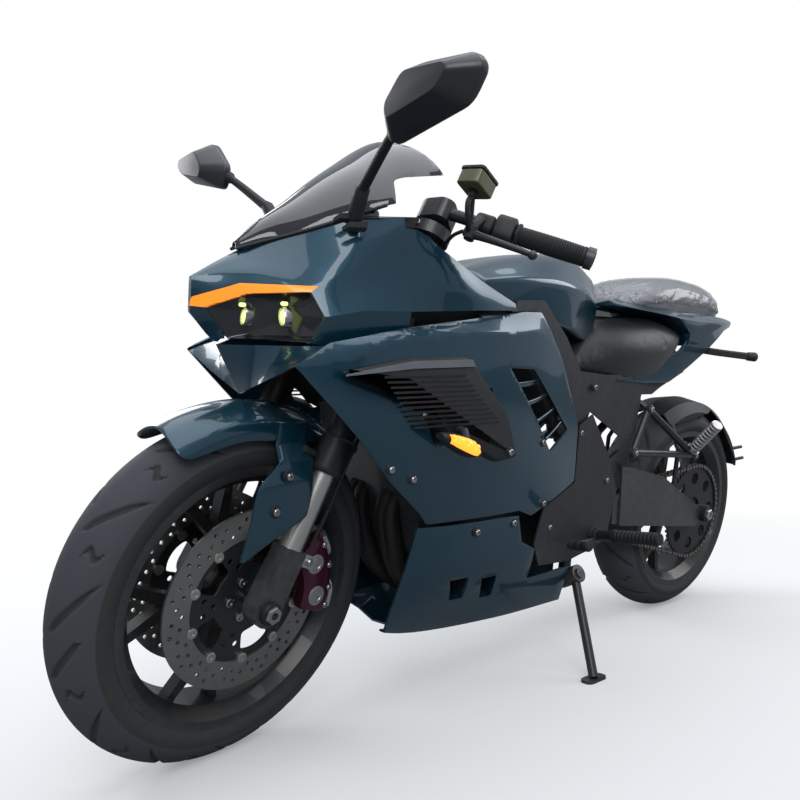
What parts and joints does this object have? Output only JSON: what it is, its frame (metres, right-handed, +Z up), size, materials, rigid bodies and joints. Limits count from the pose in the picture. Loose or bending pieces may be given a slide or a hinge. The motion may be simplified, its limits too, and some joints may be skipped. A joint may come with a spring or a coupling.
{
  "type": "sport bike",
  "caption": "Full-fairing road motorcycle leaning on its side stand, bars turned a little left; wheels roll, steering turns and the stand folds.",
  "frame": {"origin": "on the road, under the middle of the parked machine's box", "axes": "+X the way the rear wheel points forward, +Y to the rider's left, +Z up; the machine stands leaned 10 degrees to the left on its side stand"},
  "size_m": [2.0836, 0.8962, 1.1645],
  "materials": {
    "body_paint": "deep metallic teal-blue lacquer over moulded plastic",
    "black_plastic": "fine-textured black moulding",
    "black_gloss": "glossy black moulding",
    "smoked_lens": "smoked clear plastic",
    "amber_lens": "amber light strip",
    "red_lens": "red tail lamp lens",
    "tyre": "black road tyre",
    "rim": "satin black cast aluminium",
    "disc": "ground brake face",
    "black_metal": "satin black paint",
    "steel": "machined",
    "fork_tube": "hard-chromed slider",
    "fork_outer": "satin anodised",
    "caliper": "dark anodised with red-purple bridge",
    "rubber": "textured grip rubber",
    "reservoir": "translucent olive reservoir",
    "alloy": "satin cast alloy",
    "engine": "dark cast alloy",
    "vinyl": "black seat vinyl",
    "wrapped_vinyl": "black seat vinyl under thin clear wrap",
    "chain": "oiled roller chain"
  },
  "bodies": {
    "chassis": {"belly_pan": "body_paint", "chain": "chain", "chin_panel": "body_paint", "dashboard": "black_plastic", "engine_block": "engine", "exhaust": "black_metal", "foot_pegs": "alloy", "frame": "black_metal", "frame_covers": "black_plastic", "fuel_tank": "body_paint", "headlights": "smoked_lens", "indicators": "black_plastic", "light_strips": "amber_lens", "mirrors": "black_gloss", "nose_fairing": "body_paint", "pillion_seat": "wrapped_vinyl", "radiator": "black_metal", "rear_axle": "steel", "rear_caliper": "caliper", "rear_hugger": "black_plastic", "rear_shock": "black_metal", "rider_seat": "vinyl", "side_fairings": "body_paint", "side_scoops": "black_plastic", "side_trim": "black_plastic", "swingarm": "black_metal", "tail_fairing": "body_paint", "tail_light": "red_lens", "windscreen": "smoked_lens"},
    "steering": {"front_axle": "steel", "fork_outer_tubes": "fork_outer", "fork_inner_tubes": "fork_tube", "fork_bottoms": "black_metal", "yokes": "black_metal", "handlebars": "black_metal", "grips": "rubber", "hand_controls": "black_plastic", "brake_reservoir": "reservoir", "front_calipers": "caliper", "front_fender": "body_paint"},
    "front_wheel": {"front_tyre": "tyre", "front_rim": "rim", "front_discs": "disc"},
    "rear_wheel": {"rear_tyre": "tyre", "rear_rim": "rim", "rear_sprocket": "steel", "rear_disc": "disc"},
    "stand": {"side_stand": "black_metal"}
  },
  "joints": [
    {"name": "steering", "type": "hinge", "parent": "chassis", "child": "steering", "pos_m": [0.71106, -0.13869, 0.27846], "axis": [-0.4211, 0.1574, 0.8932], "range_deg": [-34.8, 15.2]},
    {"name": "front_wheel_spin", "type": "hinge", "parent": "steering", "child": "front_wheel", "pos_m": [0.74499, -0.12958, 0.29286], "axis": [-0.1547, 0.9579, -0.2417], "continuous": true},
    {"name": "rear_wheel_spin", "type": "hinge", "parent": "chassis", "child": "rear_wheel", "pos_m": [-0.65451, -0.13591, 0.29655], "axis": [-0.0003, 0.9848, -0.1736], "continuous": true},
    {"name": "stand_fold", "type": "hinge", "parent": "chassis", "child": "stand", "pos_m": [-0.04466, 0.00001, 0.20251], "axis": [0.0175, 0.9243, 0.3813], "range_deg": [0, 100]}
  ]
}
